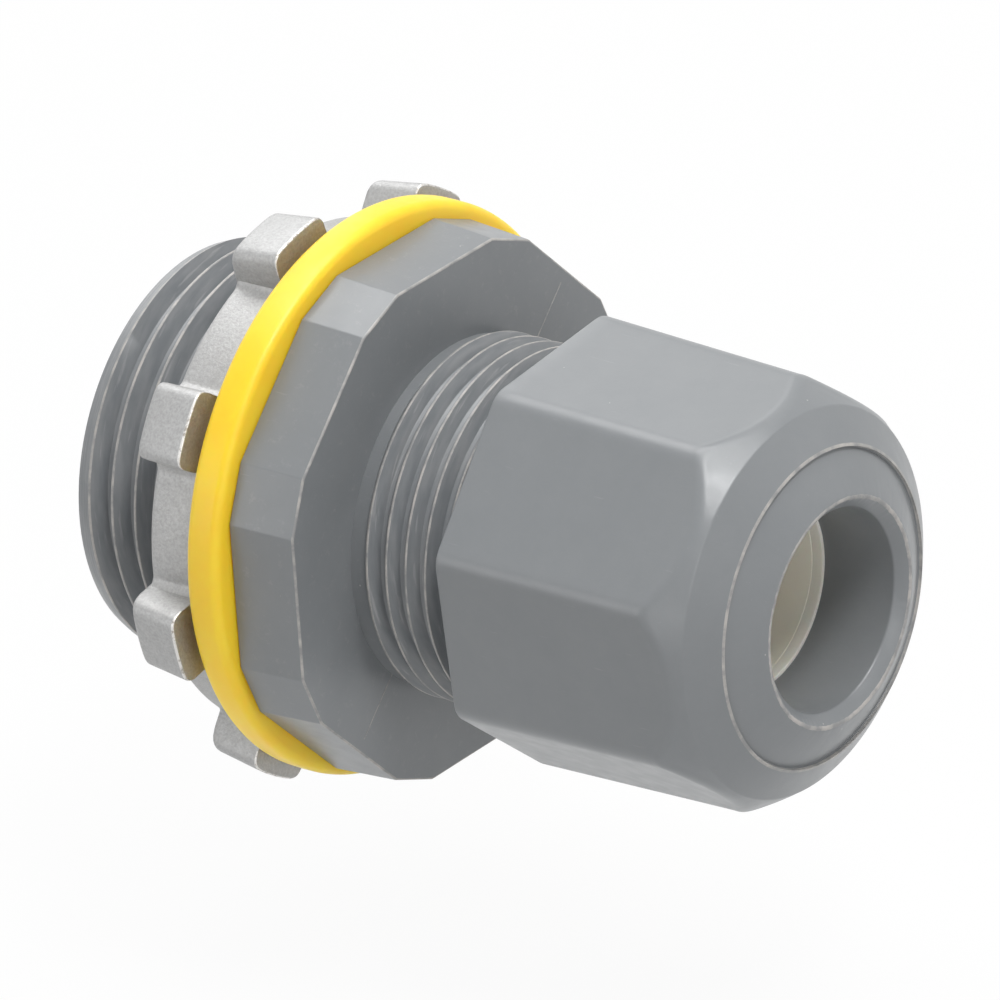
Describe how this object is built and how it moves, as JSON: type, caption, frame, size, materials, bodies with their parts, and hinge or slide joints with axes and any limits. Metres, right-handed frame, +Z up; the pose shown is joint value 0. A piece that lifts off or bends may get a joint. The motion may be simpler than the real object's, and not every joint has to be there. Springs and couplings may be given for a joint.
{
  "type": "strain relief cord connector",
  "caption": "Liquid-tight strain relief cord connector with a threaded hub, octagonal flange, sealing ring, lugged locknut and a domed octagonal gland nut that squeezes a grommet on the cord.",
  "frame": {"origin": "centre of the flange's back face, where the connector closes on a box wall", "axes": "+X along the connector's axis out of the cord opening, -X out of the hub into the box, +Z up through a flat of the octagonal flange"},
  "size_m": [0.049, 0.0376, 0.0376],
  "materials": {
    "grey_plastic": "moulded, satin",
    "yellow_seal": "moulded, smooth",
    "cast_zinc": "as cast, fine grain",
    "natural_nylon": "moulded, satin",
    "cream_rubber": "moulded, matt"
  },
  "bodies": {
    "connector": {"connector_body": "grey_plastic"},
    "seal": {"sealing_ring": "yellow_seal"},
    "locknut": {"locknut": "cast_zinc"},
    "clamp": {"slip_washer": "natural_nylon", "grommet": "cream_rubber"},
    "gland_nut": {"gland_nut": "grey_plastic"}
  },
  "joints": [
    {"name": "locknut_turn", "type": "hinge", "parent": "connector", "child": "seal", "pos_m": [-0.0025, 0, 0], "axis": [1, 0, 0], "range_deg": [-1440, 0]},
    {"name": "locknut_travel", "type": "slide", "parent": "seal", "child": "locknut", "axis": [1, 0, 0], "range_m": [-0.00726, 0.00001]},
    {"name": "nut_advance", "type": "slide", "parent": "connector", "child": "clamp", "axis": [1, 0, 0], "range_m": [-0.00526, 0.00376]},
    {"name": "nut_turn", "type": "hinge", "parent": "clamp", "child": "gland_nut", "pos_m": [0.0133, 0, 0], "axis": [1, 0, 0], "range_deg": [-1260, 900]}
  ],
  "couplings": [
    {"joint": "locknut_travel", "follows": "locknut_turn", "m_per_rad": 0.00028875},
    {"joint": "nut_advance", "follows": "nut_turn", "m_per_rad": 0.00023873}
  ]
}
